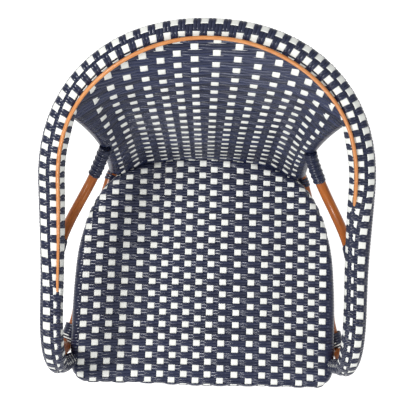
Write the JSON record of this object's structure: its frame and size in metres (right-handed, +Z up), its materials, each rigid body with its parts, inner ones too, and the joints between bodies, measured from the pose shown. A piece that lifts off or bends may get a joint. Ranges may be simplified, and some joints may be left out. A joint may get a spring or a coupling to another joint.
{
  "type": "rattan bistro armchair",
  "caption": "Armchair with a bent rattan pole frame, a flat woven seat, a curved woven back and one woven rail that runs over the back and down into both arms.",
  "frame": {"origin": "centre of the chair's footprint box on the floor", "axes": "+Z up, -Y is where the sitter faces, +X to the sitter's left, so the image's right"},
  "size_m": [0.557, 0.6246, 0.852],
  "materials": {
    "rattan_pole": "caramel stained and varnished rattan pole",
    "pale_cane": "light varnished cane rod",
    "woven_strands": "flat synthetic strands, navy with white squares, satin",
    "navy_strand": "flat navy synthetic strand, satin",
    "white_strand": "flat white synthetic strand, satin",
    "nylon_glide": "moulded dark nylon",
    "zinc_steel": "zinc plated steel"
  },
  "bodies": {
    "root": {"rail_main_pole": "rattan_pole", "rail_inner_pole": "rattan_pole", "rail_rod": "pale_cane", "leg_screw_left": "zinc_steel", "post_screw_left": "zinc_steel", "leg_screw_right": "zinc_steel", "post_screw_right": "zinc_steel", "rail_sleeve": "woven_strands", "seat_hoop": "rattan_pole", "woven_seat": "woven_strands", "seat_slat_1": "rattan_pole", "seat_slat_2": "rattan_pole", "front_leg_left": "rattan_pole", "back_post_left": "rattan_pole", "front_leg_right": "rattan_pole", "back_post_right": "rattan_pole", "woven_back": "woven_strands", "back_lower_rail": "rattan_pole", "arm_support_left": "rattan_pole", "support_tie_left": "navy_strand", "arm_tie_left": "navy_strand", "arm_support_right": "rattan_pole", "support_tie_right": "navy_strand", "arm_tie_right": "navy_strand", "side_rail_left": "rattan_pole", "rear_tie_left": "navy_strand", "front_tie_left": "navy_strand", "front_tie_white_left": "white_strand", "side_rail_right": "rattan_pole", "rear_tie_right": "navy_strand", "front_tie_right": "navy_strand", "front_tie_white_right": "white_strand", "arch_front": "rattan_pole", "arch_rear": "rattan_pole", "arch_left": "rattan_pole", "arch_right": "rattan_pole", "glide_front_left": "nylon_glide", "glide_front_right": "nylon_glide", "glide_rear_left": "nylon_glide", "glide_rear_right": "nylon_glide"}
  },
  "joints": []
}
